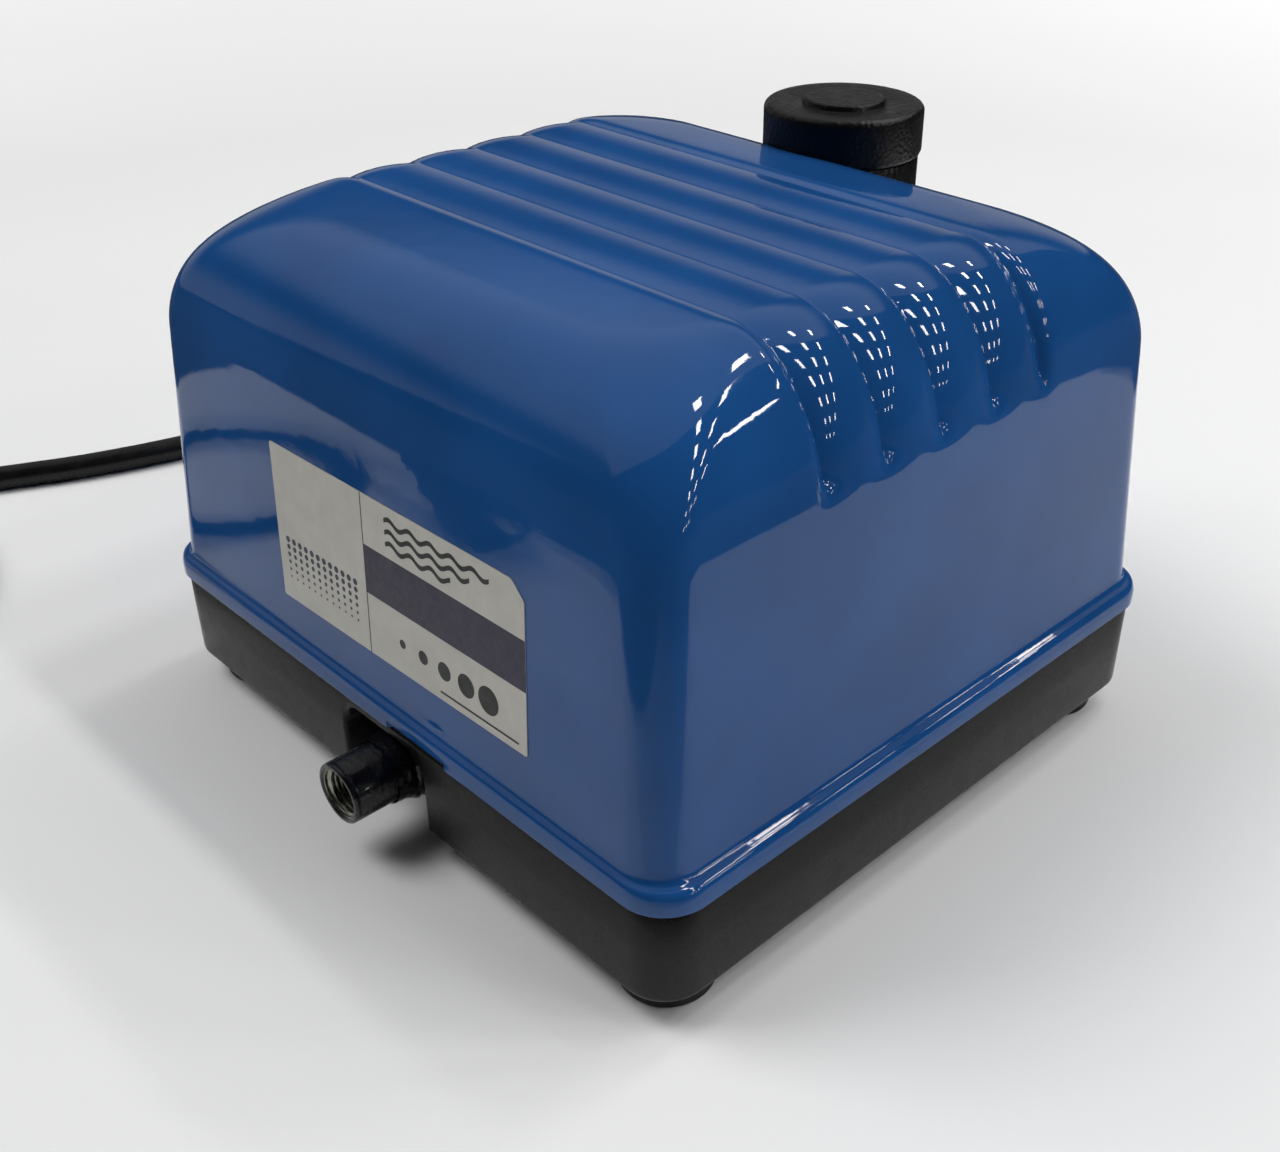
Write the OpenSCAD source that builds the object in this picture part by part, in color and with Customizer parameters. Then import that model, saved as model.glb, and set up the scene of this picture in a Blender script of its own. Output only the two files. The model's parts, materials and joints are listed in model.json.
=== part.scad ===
// Linear diaphragm air pump: a cast cover over a base tray, a filter on the rear shoulder,
// one threaded outlet at the front and a mains cord at the rear of the left end.
// Origin: middle of the footprint, at the underside of the feet. +X right, +Y rear, +Z up.

/* [Body] */
// Length of the cover's flange, left to right
body_l = 210; // [200:1:220]
// Depth of the cover's flange, front to rear
body_w = 191.6; // [188:0.2:196]
// Height of the cover's top above the table
cover_top = 145.8; // [140:0.2:150]
// Radius of the flange's corners
corner_r = 12.8; // [10:0.1:16]
// Wall thickness of the cast cover
cover_wall = 3; // [2.5:0.1:3.5]

/* [Base] */
// Height of the rubber feet
foot_h = 8; // [6:0.5:9]
// Top of the base tray above the table
tray_top = 34.6; // [33:0.2:36]
// Wall and floor thickness of the base tray
tray_wall = 3; // [2.5:0.1:3.5]
// Thickness of the gasket between tray and cover
gasket_t = 0.8; // [0.5:0.1:1.2]

/* [Filter] */
// Radius of the filter cap
cap_r = 22.9; // [22.6:0.1:23]
// Top of the cap's skirt above the table
cap_top = 153.4; // [152:0.2:156]
// How far the filter stands to the left of the middle
filter_x = -10; // [-15:1:10]
// How far the filter stands behind the middle
filter_y = 87; // [86:0.5:87]

/* [Outlet] */
// Radius of the outlet pipe
outlet_r = 8.4; // [8:0.1:8.4]
// Radius of the outlet's threaded bore, at the thread's major diameter
bore_r = 6.6; // [6:0.1:6.8]
// Depth of the threaded bore
bore_depth = 16; // [12:1:16]
// Height of the outlet's axis
outlet_z = 20; // [19.5:0.1:20.5]

/* [Cord] */
// Radius of the mains cord
cord_r = 4.25; // [4.0:0.05:4.25]
// Radius of the stored coil at the middle of its turns
coil_r = 46; // [45:1:48]

/* [Motor] */
// Height of the armature's axis
motor_z = 75; // [74:0.5:76]
// Half the armature's rod
rod_half = 66; // [65:0.5:67]

/* [Hidden] */
$fn = 64;
eps = 0.01;

// Cover
half_l = body_l / 2;
half_w = body_w / 2;
cover_z = tray_top + gasket_t;
band_h = 4;
// The bead's steps: how far each is set in, and its height above the band
bead_steps = [[0.5, 0.8], [1.3, 1.5], [2.6, 2]];
wall_foot_x = half_l - 5.4;
wall_foot_y = half_w - 3.7;
draft = 0.063;
shoulder_h = 36.6;
shoulder_in = 29.4;
shoulder_z = cover_top - shoulder_h;
wall_corner_r = 12.5;
crown_corner_r = 27;
corner_steps = 8;
shoulder_step = 9;
groove_count = 5;
groove_pitch = 19.5;
groove_w = 15;
groove_depth = 3;
groove_end_angle = 7;
screw_x = 88;
screw_y = 78.5;

// Label on the sloping front wall
label_size = [100, 43];
label_t = 0.3;
label_x = 6.3;
label_z = 73.1;

// Filter
tower_r = cap_r - 0.3;
tower_top = 126;
pocket_r = cap_r + 0.3;
cup_r = 22.1;
cup_neck_r = 21.3;
skirt_z = cap_top - 13.5;
cup_top = cap_top - 3.4;
spigot_r = 9;

// Outlet
outlet_x = 2;
outlet_y = -110;
niche_half = 17;
niche_top = 32.4;
niche_back = -80;

// Tank and chassis
tank_half = [60, 45];
tank_top = 29;
chassis_z = 41;
chassis_t = 4;
upright_x = 52;
head_half = 32;
head_screw_at = 26;
hose_y = -14;
side_port_x = 80;

// Cord: where it leaves the gland, and the route that it takes along the table
gland_y = 60;
gland_z = 20;
gland_x = -103.8;
relief_tip_x = -132;
cord_route = [
    [-132, 60, 20], [-146, 60, 20], [-160, 59.5, 18.4], [-174, 57, 15], [-188, 51, 11.2],
    [-200, 42, 7.8], [-210, 30, 5.6], [-218, 15, 4.6], [-224, -2, 4.3], [-228, -18, 4.3],
    [-232, -34, 4.3], [-237, -50, 4.3], [-243, -66, 4.3], [-250, -81, 4.3], [-257, -96, 4.3],
    [-263, -112, 4.3], [-268, -128, 4.6], [-271, -144, 5], [-272, -160, 5.3], [-272, -174, 5.3]
];
coil_at = [-221.5, -174];
coil_z = 5.3;
plug_x = -150;
plug_y = coil_at[1] - coil_r - cord_r;
plug_z = 18.6;
lead_route = [
    [-222, plug_y, 13.8], [-208, plug_y, 14.1], [-194, plug_y, 15.8],
    [-182, plug_y, 17.9], [-170, plug_y, 18.6]
];

// Inner leads from the terminal block to the coils
lead_r = 1.2;
rear_lead = [
    [-80, 60, 26], [-80, 60, 44], [-72, 56, 66], [-56, 48, 86], [-38, 40, 100],
    [-22, 30, 110], [-14, 22, 112], [-10, 20, 107], [-10, 20, 102]
];
front_lead = [
    [-75, 56, 26], [-75, 56, 44], [-66, 50, 70], [-50, 42, 94], [-38, 26, 108],
    [-26, 6, 114], [-14, -14, 113], [-10, -20, 107], [-10, -20, 102]
];

// ---- Shared shapes ----

// A ring of points round a rectangle with round corners, at height z
function ring(hx, hy, r, z) = [
    for (c = [0 : 3])
        for (i = [0 : corner_steps])
            let (a = 90 * (c + i / corner_steps),
                 sx = (c == 0 || c == 3) ? 1 : -1,
                 sy = c < 2 ? 1 : -1)
            [sx * (hx - r) + r * cos(a), sy * (hy - r) + r * sin(a), z]
];

// Outline of the flange, inset all round, with the bulge under the filter
module outline(inset) {
    r = corner_r - inset;
    hx = half_l - inset;
    hy = half_w - inset;
    square([2 * hx, 2 * (hy - r)], center = true);
    square([2 * (hx - r), 2 * hy], center = true);
    for (x = [-1, 1], y = [-1, 1])
        translate([x * (hx - r), y * (hy - r)])
            circle(r);
    translate([filter_x, filter_y])
        circle(cap_r + 0.1 - inset);
}

// A cylinder along +X from x0 to x1
module rod_x(x0, x1, r) {
    translate([x0, 0, 0])
        rotate([0, 90, 0])
            cylinder(h = x1 - x0, r = r);
}

// A cylinder along +Y from y0 to y1
module rod_y(y0, y1, r) {
    translate([0, y0, 0])
        rotate([-90, 0, 0])
            cylinder(h = y1 - y0, r = r);
}

// A box given by its lowest and highest corners
module block(low, high) {
    translate(low)
        cube(high - low);
}

// One copy at each end: the right one as drawn, the left one mirrored
module both_ends() {
    children();
    mirror([1, 0, 0])
        children();
}

// One copy at each of the four corners
module four(x, y) {
    for (sx = [-1, 1], sy = [-1, 1])
        translate([sx * x, sy * y, 0])
            children();
}

// A tube swept along a route whose direction is never straight up, except at upright leads
function unit(v) = v / norm(v);
function heading(p, i) = unit(p[min(i + 1, len(p) - 1)] - p[max(i - 1, 0)]);
function across(t) = abs(t[2]) > 0.99 ? [1, 0, 0] : unit(cross(t, [0, 0, 1]));
function tube_points(p, r, sides) = [
    for (i = [0 : len(p) - 1])
        let (t = heading(p, i), s = across(t), u = cross(s, t))
            for (k = [0 : sides - 1])
                p[i] + r * (cos(360 * k / sides) * s + sin(360 * k / sides) * u)
];
module tube(p, r, sides) {
    n = len(p);
    polyhedron(
        points = tube_points(p, r, sides),
        faces = concat(
            [[for (k = [0 : sides - 1]) sides - 1 - k]],
            [[for (k = [0 : sides - 1]) (n - 1) * sides + k]],
            [for (i = [0 : n - 2], k = [0 : sides - 1])
                let (a = i * sides + k, b = i * sides + (k + 1) % sides)
                [a, b, b + sides, a + sides]]
        )
    );
}

// ---- Cover, gasket, label ----

// Rings of the cover's skin: a drafted wall, then a quarter-round shoulder. t is the depth below
// the outside, and under the crown the metal is thicker by the grooves' depth.
function skin_ring(z, rise, t) =
    let (u = 1 - cos(rise),
         inset = draft * (min(z, shoulder_z) - cover_z) + shoulder_in * u + t,
         r = wall_corner_r + (crown_corner_r - wall_corner_r) * u - t * (1 - u),
         below = (t > 0 ? t + groove_depth : 0) * sin(rise))
    ring(wall_foot_x - inset, wall_foot_y - inset, r, z - below);
function skin_rings(t) = concat(
    [skin_ring(cover_z - (t > 0 ? 1 : 0), 0, t)],
    [for (a = [0 : shoulder_step : 90]) skin_ring(shoulder_z + shoulder_h * sin(a), a, t)]
);
module cover_skin(t) {
    rings = skin_rings(t);
    m = len(rings[0]);
    n = len(rings);
    polyhedron(
        points = [for (g = rings) each g],
        faces = concat(
            [[for (i = [0 : m - 1]) i]],
            [[for (i = [0 : m - 1]) (n - 1) * m + m - 1 - i]],
            [for (k = [0 : n - 2], i = [0 : m - 1])
                let (a = k * m + i, b = k * m + (i + 1) % m)
                [a, a + m, b + m, b]]
        )
    );
}

// The band round the cover's foot, with its rounded bead on top
module flange() {
    translate([0, 0, cover_z])
        linear_extrude(band_h)
            outline(0);
    for (step = bead_steps)
        translate([0, 0, cover_z + 1])
            linear_extrude(band_h - 1 + step[1])
                outline(step[0]);
}

// A point on the arch over the cover at angle a of the shoulder, and a wedge that cuts a valley there
function arch(a) = [wall_foot_x - draft * (shoulder_z - cover_z) - shoulder_in * (1 - cos(a)),
                    shoulder_z + shoulder_h * sin(a)];
module wedge(side, a, depth) {
    at = arch(a);
    lift = 1.5;
    half = groove_w / 2 * (depth + 0.01) / groove_depth;
    reach = half * (depth + lift) / (depth + 0.01);
    translate([side * at[0], 0, at[1]])
        rotate([0, side * (90 - a), 0])
            rotate([90, 0, 90])
                linear_extrude(0.02, center = true)
                    polygon([[0, -depth], [reach, lift], [-reach, lift]]);
}
function valley(a) = groove_depth * min(1, (a - groove_end_angle) / 30);
module groove(y) {
    translate([0, y, 0]) {
        hull() {
            wedge(-1, 90, groove_depth);
            wedge(1, 90, groove_depth);
        }
        for (side = [-1, 1], a = [groove_end_angle + 2 : shoulder_step : 81])
            hull() {
                wedge(side, a, valley(a));
                wedge(side, a + shoulder_step, valley(a + shoulder_step));
            }
    }
}

module filter_well(r, z0, z1) {
    translate([filter_x, filter_y, z0])
        cylinder(h = z1 - z0, r = r);
}

module top_cover() {
    color("royalblue")
        difference() {
            union() {
                difference() {
                    union() {
                        cover_skin(0);
                        flange();
                        filter_well(tower_r, cover_z, tower_top);
                    }
                    cover_skin(cover_wall);
                    filter_well(tower_r - cover_wall, cover_z - 1, tower_top - 4);
                }
                intersection() {
                    cover_skin(0);
                    filter_well(pocket_r + cover_wall, tower_top - 4, cover_top + 1);
                }
                four(screw_x, screw_y)
                    translate([0, 0, cover_z + 0.6])
                        cylinder(h = 22, r = 8);
            }
            filter_well(pocket_r, tower_top, cover_top + 1);
            filter_well(spigot_r + 0.1, tower_top - 5, tower_top + 1);
            four(screw_x, screw_y)
                translate([0, 0, cover_z])
                    cylinder(h = 19, r = 2.1);
            for (i = [0 : groove_count - 1])
                groove((i - (groove_count - 1) / 2) * groove_pitch);
        }
}

module cover_gasket() {
    color("#1c1c1c")
        translate([0, 0, tray_top])
            linear_extrude(gasket_t)
                difference() {
                    outline(1.6);
                    outline(6);
                }
}

module front_label() {
    lean = atan(draft);
    wall_y = -(wall_foot_y - draft * (label_z - cover_z));
    color("gainsboro")
        translate([label_x, wall_y, label_z])
            rotate([-lean, 0, 0])
                translate([-label_size[0] / 2, -label_t + 0.05, -label_size[1] / 2])
                    cube([label_size[0], label_t, label_size[1]]);
}

// ---- Base ----

module base_tray() {
    color("#30302e")
        difference() {
            union() {
                difference() {
                    translate([0, 0, foot_h])
                        linear_extrude(tray_top - foot_h)
                            outline(1.2);
                    translate([0, 0, foot_h + tray_wall])
                        linear_extrude(tray_top)
                            outline(1.2 + tray_wall);
                }
                four(screw_x, screw_y)
                    translate([0, 0, foot_h])
                        cylinder(h = tray_top - foot_h, r = 8);
                block([-niche_half - 2.5, 2 - half_w, foot_h], [niche_half + 2.5, niche_back + 3, tray_top]);
            }
            block([-niche_half, -half_w - 1, foot_h - 1], [niche_half, niche_back, niche_top]);
            translate([outlet_x, 0, outlet_z])
                rod_y(niche_back - 1, niche_back + 4, outlet_r + 0.05);
            translate([0, gland_y, gland_z])
                rod_x(gland_x - 1, gland_x + tray_wall + 1, 6.05);
            four(screw_x, screw_y)
                translate([0, 0, foot_h - 1])
                    cylinder(h = tray_top, r = 2.2);
        }
}

module foot(sx, sy) {
    color("#202020")
        translate([sx * screw_x, sy * screw_y, 0])
            rotate_extrude()
                polygon([
                    [6, 0], [11.5, 0], [12.5, 1], [12.5, 6.5], [11, foot_h], [2.2, foot_h],
                    [2.2, 4.5], [6, 4.5]
                ]);
}

module base_screws() {
    color("silver")
        four(screw_x, screw_y)
            translate([0, 0, 2]) {
                cylinder(h = 2.5, r = 4);
                cylinder(h = 50, r = 2);
            }
}

// ---- Filter ----

module filter_cup() {
    color("#1b1b1b")
        translate([filter_x, filter_y, 0])
            difference() {
                union() {
                    translate([0, 0, tower_top])
                        cylinder(h = skirt_z - 0.6 - tower_top, r = cup_r);
                    translate([0, 0, tower_top])
                        cylinder(h = cup_top - tower_top, r = cup_neck_r);
                    translate([0, 0, tower_top - 14])
                        cylinder(h = 15, r = spigot_r);
                }
                translate([0, 0, tower_top + 3])
                    cylinder(h = 40, r = cup_neck_r - 1.8);
                translate([0, 0, tower_top - 15])
                    cylinder(h = 30, r = spigot_r - 2);
                for (a = [0 : 60 : 300])
                    rotate([0, 0, a])
                        block([15, -2.5, cup_top - 4], [25, 2.5, cup_top + 1]);
            }
}

module filter_foam() {
    color("dimgray")
        translate([filter_x, filter_y, tower_top + 3])
            cylinder(h = 18, r = cup_neck_r - 2);
}

module filter_cap() {
    color("#161616")
        translate([filter_x, filter_y, 0])
            rotate_extrude($fn = 96)
                polygon([
                    [0, cup_top + 0.2], [cup_neck_r + 0.05, cup_top + 0.2], [cup_neck_r + 0.05, skirt_z],
                    [cap_r - 0.4, skirt_z], [cap_r, skirt_z + 0.4], [cap_r, cap_top - 1.6],
                    [cap_r - 0.5, cap_top - 0.5], [cap_r - 1.6, cap_top], [11.5, cap_top],
                    [10.4, cap_top + 1.3], [0, cap_top + 1.3]
                ]);
}

// ---- Outlet ----

module outlet_tube() {
    color("#141416")
        translate([outlet_x, 0, outlet_z])
            difference() {
                union() {
                    rod_y(outlet_y, niche_back + 6, outlet_r);
                    rod_y(niche_back + 5, -61, 5.5);
                }
                rod_y(outlet_y - 1, outlet_y + bore_depth, bore_r);
                rod_y(outlet_y, -60, 3.5);
            }
}

module outlet_boot() {
    color("#101010")
        translate([outlet_x, 0, outlet_z])
            rotate([90, 0, 0])
                rotate_extrude()
                    polygon([
                        [outlet_r + 0.05, -niche_back], [11.6, -niche_back], [11.6, 83], [10.6, 84],
                        [11.4, 86], [10.2, 88], [10.8, 90], [9.6, 93.5], [outlet_r + 0.05, 94]
                    ]);
}

module outlet_hose() {
    color("#262626")
        translate([outlet_x, 0, outlet_z])
            difference() {
                rod_y(-73, -46, 7.4);
                rod_y(-74, -45, 5.55);
            }
}

module clamp_ring(r) {
    difference() {
        cylinder(h = 5, r = r + 0.8, center = true);
        cylinder(h = 6, r = r, center = true);
    }
}

module hose_clamps() {
    color("silver") {
        for (y = [-69, -50])
            translate([outlet_x, y, outlet_z])
                rotate([90, 0, 0])
                    clamp_ring(7.4);
        both_ends() {
            translate([side_port_x, hose_y, 38])
                clamp_ring(7.5);
            translate([65.5, hose_y, 20])
                rotate([0, 90, 0])
                    clamp_ring(7.5);
        }
    }
}

// ---- Air tank and chassis ----

module air_tank() {
    floor_z = foot_h + tray_wall;
    color("#8a8d90")
        difference() {
            union() {
                block([-tank_half[0], -tank_half[1], floor_z], [tank_half[0], tank_half[1], tank_top - 3]);
                translate([outlet_x, 0, outlet_z])
                    rod_y(-57, 1 - tank_half[1], 5.5);
                translate([0, hose_y, 20])
                    rod_x(-69, 69, 5);
            }
            block([3 - tank_half[0], 3 - tank_half[1], floor_z + 3],
                  [tank_half[0] - 3, tank_half[1] - 3, tank_top]);
            translate([outlet_x, 0, outlet_z])
                rod_y(-58, 0, 3.5);
            translate([0, hose_y, 20])
                rod_x(-70, 70, 3.2);
        }
}

module tank_lid() {
    color("#9a9da0")
        block([-tank_half[0], -tank_half[1], tank_top - 3], [tank_half[0], tank_half[1], tank_top]);
}

module isolation_mounts() {
    color("#202020")
        four(46, 32)
            translate([0, 0, tank_top])
                rotate_extrude()
                    polygon([[0, 0], [7, 0], [7, 2], [5.2, 4], [5.2, 8], [7, 10], [7, 12], [0, 12]]);
}

module motor_frame() {
    plate_top = chassis_z + chassis_t;
    color("#a8abad")
        difference() {
            union() {
                block([-upright_x - 4, -42, chassis_z], [upright_x + 4, 42, plate_top]);
                both_ends()
                    block([upright_x, -34, chassis_z], [upright_x + 4, 34, motor_z + 34]);
                four(30, 36)
                    translate([0, 0, chassis_z])
                        cylinder(h = motor_z - 13 - chassis_z, r = 4);
            }
            translate([0, 0, motor_z])
                rod_x(-60, 60, 22);
            for (y = [-1, 1], z = [-1, 1])
                translate([0, y * head_screw_at, motor_z + z * head_screw_at])
                    rod_x(-60, 60, 2.05);
            four(30, 36)
                translate([0, 0, chassis_z + 8])
                    cylinder(h = 20, r = 2.05);
        }
}

// ---- Magnetic drive ----

module e_core() {
    low = motor_z - 13;
    high = motor_z + 13;
    color("#5b5f63")
        difference() {
            union() {
                block([-34, 32, low], [34, 40, high]);
                block([-7, 6.5, low], [7, 33, high]);
                both_ends()
                    block([26, 6.5, low], [34, 33, high]);
            }
            for (x = [-30, 30])
                translate([x, 36, low - 1])
                    cylinder(h = 30, r = 2.1);
        }
}

module bobbin() {
    color("ivory")
        difference() {
            union() {
                block([-8.5, 9, motor_z - 14.5], [8.5, 31.5, motor_z + 14.5]);
                for (y = [9, 30.3])
                    block([-24.5, y, motor_z - 28], [24.5, y + 1.2, motor_z + 28]);
            }
            block([-7.3, 8, motor_z - 13.3], [7.3, 32.5, motor_z + 13.3]);
        }
}

module winding() {
    color("#a85a2a")
        difference() {
            block([-23.5, 10.2, motor_z - 27], [23.5, 30.3, motor_z + 27]);
            block([-8.5, 9, motor_z - 14.5], [8.5, 32, motor_z + 14.5]);
        }
}

// Parts behind the armature stay as drawn; those in front are mirrored
module front_side() {
    mirror([0, 1, 0])
        children();
}

module core_screws() {
    color("silver")
        four(30, 36)
            translate([0, 0, motor_z + 13]) {
                cylinder(h = 3, r = 3.8);
                translate([0, 0, -38])
                    cylinder(h = 39, r = 2);
            }
}

module armature_rod() {
    color("#c4c6c8")
        difference() {
            union() {
                translate([0, 0, motor_z])
                    rod_x(-rod_half, rod_half, 4);
                block([-36, -5, motor_z - 13], [36, 5, motor_z + 13]);
            }
            for (x = [-18, 18])
                block([x - 9, -6, motor_z - 11], [x + 9, 6, motor_z + 11]);
        }
}

module magnets() {
    color("#484a4e")
        for (x = [-18, 18])
            block([x - 9, -5, motor_z - 11], [x + 9, 5, motor_z + 11]);
}

module clamp_discs() {
    color("#b9bbbd")
        translate([0, 0, motor_z])
            difference() {
                union() {
                    rod_x(upright_x + 1.5, upright_x + 4, 14);
                    rod_x(upright_x + 6, upright_x + 8.5, 14);
                }
                rod_x(50, 70, 4);
            }
}

module rod_nuts() {
    color("silver")
        both_ends()
            translate([upright_x + 8.5, 0, motor_z])
                rotate([0, 90, 0])
                    difference() {
                        cylinder(h = 4, r = 7.5, $fn = 6);
                        translate([0, 0, -1])
                            cylinder(h = 6, r = 4);
                    }
}

// ---- Pump heads ----

module diaphragm() {
    color("#1e1e20")
        translate([0, 0, motor_z])
            difference() {
                rod_x(upright_x + 4, upright_x + 6, 30);
                rod_x(50, 60, 4);
            }
}

// Four screw holes through a pump head's parts
module head_holes() {
    for (y = [-1, 1], z = [-1, 1])
        translate([0, y * head_screw_at, motor_z + z * head_screw_at])
            rod_x(50, 95, 2.05);
}

module pump_head() {
    color("#9da0a2")
        difference() {
            block([56, -head_half, motor_z - head_half], [72, head_half, motor_z + head_half]);
            translate([0, 0, motor_z]) {
                rod_x(55, 73, 22);
                rod_x(55, 58, 30.05);
            }
            head_holes();
        }
}

module valve_plate() {
    color("#d8d8d2")
        difference() {
            block([72, -head_half, motor_z - head_half], [75, head_half, motor_z + head_half]);
            for (y = [-11, 11]) {
                translate([0, y, motor_z])
                    rod_x(71, 76, 1.6);
                for (a = [45 : 90 : 315])
                    translate([0, y + 5 * cos(a), motor_z + 5 * sin(a)])
                        rod_x(71, 76, 1.7);
            }
            head_holes();
        }
}

module valves() {
    color("#1c1c1e")
        translate([0, 0, motor_z]) {
            translate([0, 11, 0]) {
                rod_x(70.8, 72, 8.4);
                rod_x(71, 76.5, 1.55);
            }
            translate([0, -11, 0]) {
                rod_x(75, 76.2, 8.4);
                rod_x(70.5, 76, 1.55);
            }
        }
}

module head_cover() {
    color("#94979a")
        difference() {
            union() {
                block([75, -head_half, motor_z - head_half], [87, head_half, motor_z + head_half]);
                translate([side_port_x, hose_y, 33])
                    cylinder(h = 12, r = 5);
            }
            block([74, 2, motor_z - 24], [84, 21, motor_z + 24]);
            block([74, -21, motor_z - 24], [84, -2, motor_z + 24]);
            translate([side_port_x, hose_y, 32])
                cylinder(h = 25, r = 3.2);
            translate([side_port_x, 12, motor_z + 20])
                cylinder(h = 20, r = 3.6);
            head_holes();
        }
}

module head_screws() {
    color("silver")
        both_ends()
            for (y = [-1, 1], z = [-1, 1])
                translate([0, y * head_screw_at, motor_z + z * head_screw_at]) {
                    rod_x(upright_x, 88, 2);
                    rod_x(87, 90, 3.8);
                }
}

module air_hose() {
    bend = 10;
    color("#262626")
        translate([0, hose_y, 0])
            difference() {
                union() {
                    translate([side_port_x, 0, 20 + bend])
                        cylinder(h = 12, r = 7.5);
                    translate([side_port_x - bend, 0, 20 + bend])
                        rotate([90, 0, 0])
                            rotate([0, 0, -90])
                                rotate_extrude(angle = 90)
                                    translate([bend, 0])
                                        circle(7.5);
                    translate([0, 0, 20])
                        rod_x(62, side_port_x - bend, 7.5);
                }
                translate([side_port_x, 0, 20 + bend - eps])
                    cylinder(h = 13, r = 5.05);
                translate([side_port_x - bend, 0, 20 + bend])
                    rotate([90, 0, 0])
                        rotate([0, 0, -90])
                            rotate_extrude(angle = 90)
                                translate([bend, 0])
                                    circle(5.05);
                translate([0, 0, 20])
                    rod_x(61, side_port_x - bend + eps, 5.05);
            }
}

// ---- Mains connection ----

module terminal_block() {
    color("#e8e6df")
        difference() {
            block([-92, 50, 11], [-68, 70, 26]);
            for (x = [-86, -80, -74])
                translate([x, 65, 20])
                    cylinder(h = 7, r = 1.8);
        }
}

module supply_tail() {
    color("#141414")
        translate([0, gland_y, gland_z])
            rod_x(-110, -92, cord_r);
}

module motor_leads() {
    color("firebrick") {
        tube(rear_lead, lead_r, 8);
        tube(front_lead, lead_r, 8);
    }
}

module cord_gland() {
    color("#161616")
        translate([0, gland_y, gland_z])
            difference() {
                union() {
                    rod_x(gland_x, -98, 6);
                    rod_x(-110, gland_x, 9.5);
                    rod_x(-100.8, -98, 8);
                }
                rod_x(-111, -97, cord_r + 0.05);
            }
}

module strain_relief() {
    color("#161616")
        translate([relief_tip_x, gland_y, gland_z])
            rotate([0, 90, 0])
                cylinder(h = -110 - relief_tip_x, r1 = cord_r + 0.6, r2 = 7.5);
}

module power_cord() {
    color("#0e0e0e")
        tube(cord_route, cord_r, 10);
}

// Outer shape of the stored coil: two turns wide and two turns high
module cord_coil() {
    color("#0e0e0e")
        translate([coil_at[0], coil_at[1], coil_z - cord_r])
            rotate_extrude()
                polygon([
                    [coil_r - 6.5, 0], [coil_r + 6.5, 0], [coil_r + 8.5, 2], [coil_r + 8.5, 15],
                    [coil_r + 6.5, 17], [coil_r - 6.5, 17], [coil_r - 8.5, 15], [coil_r - 8.5, 2]
                ]);
}

module cord_tie() {
    color("#2a2a2a")
        translate([coil_at[0], coil_at[1] + coil_r, 0])
            difference() {
                block([-4, -9.4, 0.1], [4, 9.4, 19]);
                block([-5, -8.5, 1], [5, 8.5, 18.1]);
            }
}

module plug_lead() {
    color("#0e0e0e")
        tube(lead_route, cord_r, 10);
}

module plug_body() {
    color("#121212")
        translate([plug_x, plug_y, plug_z])
            rotate([0, 90, 0])
                rotate_extrude()
                    polygon([
                        [0, -20], [5.2, -20], [8, -2], [12, 0], [16.5, 14], [18.5, 20], [18.5, 38], [0, 38]
                    ]);
}

module plug_pins() {
    color("silver")
        for (y = [-9.5, 9.5])
            translate([plug_x + 38, plug_y + y, plug_z])
                rotate([0, 90, 0])
                    rotate_extrude()
                        polygon([[0, 0], [2.4, 0], [2.4, 17.6], [1, 19], [0, 19]]);
}

top_cover();
cover_gasket();
front_label();
base_tray();
foot(-1, -1);  // foot_front_left
foot(1, -1);  // foot_front_right
foot(-1, 1);  // foot_rear_left
foot(1, 1);  // foot_rear_right
base_screws();
filter_cup();
filter_foam();
filter_cap();
outlet_tube();
outlet_boot();
outlet_hose();
hose_clamps();
air_tank();
tank_lid();
isolation_mounts();
motor_frame();
front_side() e_core();  // core_front
e_core();  // core_rear
core_screws();
front_side() bobbin();  // bobbin_front
bobbin();  // bobbin_rear
front_side() winding();  // coil_front
winding();  // coil_rear
armature_rod();
magnets();
mirror([1, 0, 0]) clamp_discs();  // clamp_discs_left
clamp_discs();  // clamp_discs_right
rod_nuts();
mirror([1, 0, 0]) diaphragm();  // diaphragm_left
diaphragm();  // diaphragm_right
mirror([1, 0, 0]) pump_head();  // pump_head_left
pump_head();  // pump_head_right
mirror([1, 0, 0]) valve_plate();  // valve_plate_left
valve_plate();  // valve_plate_right
mirror([1, 0, 0]) valves();  // valves_left
valves();  // valves_right
mirror([1, 0, 0]) head_cover();  // head_cover_left
head_cover();  // head_cover_right
head_screws();
mirror([1, 0, 0]) air_hose();  // air_hose_left
air_hose();  // air_hose_right
terminal_block();
supply_tail();
motor_leads();
cord_gland();
strain_relief();
power_cord();
cord_coil();
cord_tie();
plug_lead();
plug_body();
plug_pins();
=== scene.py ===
"""The air pump's visual model, built in the frame of its CAD model.

Lengths are in millimetres unless noted, and z is up, with the feet on z = 0. The front faces -y.
"""
import json
import math

import bmesh
import bpy
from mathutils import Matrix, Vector, noise


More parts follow.
